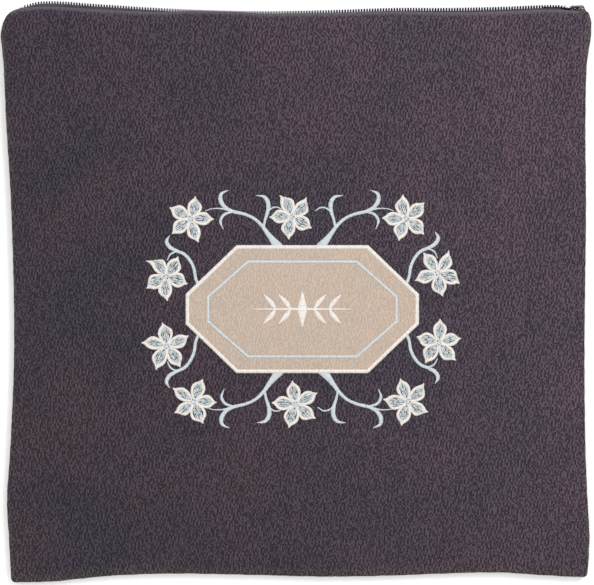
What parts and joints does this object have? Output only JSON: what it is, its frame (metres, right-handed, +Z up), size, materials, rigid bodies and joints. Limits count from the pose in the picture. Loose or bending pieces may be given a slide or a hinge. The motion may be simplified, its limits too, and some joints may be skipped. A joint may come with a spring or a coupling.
{
  "type": "tallit bag",
  "caption": "Flat square cloth bag with a coil zip along its top edge and an octagonal patch ringed by stitched vines and flowers on its front.",
  "frame": {"origin": "middle of the bag's outline, on the surface that it lies on", "axes": "the bag lies on its back: +X to the right of its front, +Y from the bottom seam towards the zip, +Z up out of the embroidered front"},
  "size_m": [0.36, 0.355, 0.024],
  "materials": {
    "cloth": "dark plum-grey pebbled faux suede",
    "patch_cloth": "tan matt suede",
    "cream_thread": "cream satin-stitched thread",
    "blue_thread": "pale blue-grey satin-stitched thread",
    "tape": "grey woven zip tape",
    "coil": "dark nylon coil",
    "dark_metal": "dark plated zinc"
  },
  "bodies": {
    "bag": {"front_panel": "cloth", "back_panel": "cloth", "zip_chain": "coil", "front_tape": "tape", "back_tape": "tape", "slider": "dark_metal", "patch": "patch_cloth", "patch_border": "cream_thread", "inner_line": "blue_thread", "sprig": "cream_thread", "flower_top_left": "cream_thread", "flower_top_middle": "cream_thread", "flower_top_right": "cream_thread", "flower_left_upper": "cream_thread", "flower_left_lower": "cream_thread", "flower_right_upper": "cream_thread", "flower_right_lower": "cream_thread", "flower_bottom_left": "cream_thread", "flower_bottom_middle": "cream_thread", "flower_bottom_right": "cream_thread", "end_vine_top_left": "blue_thread", "side_vine_top_left": "blue_thread", "end_vine_top_right": "blue_thread", "side_vine_top_right": "blue_thread", "end_vine_bottom_left": "blue_thread", "side_vine_bottom_left": "blue_thread", "end_vine_bottom_right": "blue_thread", "side_vine_bottom_right": "blue_thread"},
    "pull": {"pull_tab": "dark_metal"}
  },
  "joints": [
    {"name": "pull_swing", "type": "hinge", "parent": "bag", "child": "pull", "pos_m": [0.17184, 0.17115, 0.00406], "axis": [0, -0.9659, -0.2588], "range_deg": [-3, 120]}
  ]
}
